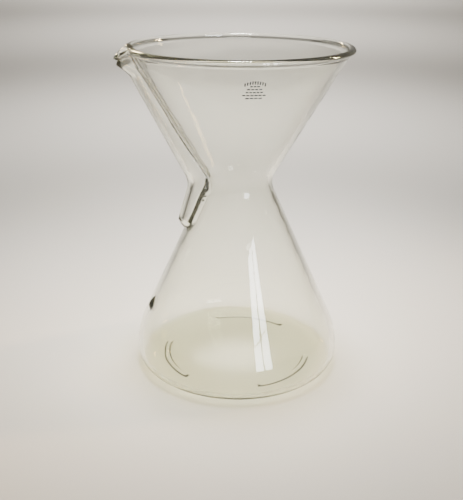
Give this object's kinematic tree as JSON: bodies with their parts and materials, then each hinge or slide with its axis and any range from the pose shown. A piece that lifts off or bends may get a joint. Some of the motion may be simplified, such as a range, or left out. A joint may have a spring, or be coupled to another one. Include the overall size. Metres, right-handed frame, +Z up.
{
  "type": "pour-over coffee carafe",
  "caption": "Hourglass pour-over coffee carafe of clear glass, with a filter funnel, a narrow waist, a round flask, an air channel and a pouring lip",
  "frame": {"origin": "centre of the base on the table, on the axis of the funnel and the flask", "axes": "+Z up along the glass's axis; -X towards the pouring lip and the air channel; +Y by the right-hand rule"},
  "size_m": [0.166, 0.158, 0.24],
  "materials": {
    "glass": "clear borosilicate glass, fire-polished rim, faint grey-green tint in thick edges",
    "enamel": "fired-on dark grey enamel mark, matt"
  },
  "bodies": {
    "root": {"rim_bead": "glass", "pouring_lip": "glass", "funnel_wall": "glass", "channel_upper": "glass", "waist_neck": "glass", "channel_elbow": "glass", "flask_wall": "glass", "channel_lower": "glass", "volume_button": "glass", "flask_heel": "glass", "flask_floor": "glass", "foot_arcs": "glass", "enamel_mark": "enamel"}
  },
  "joints": []
}
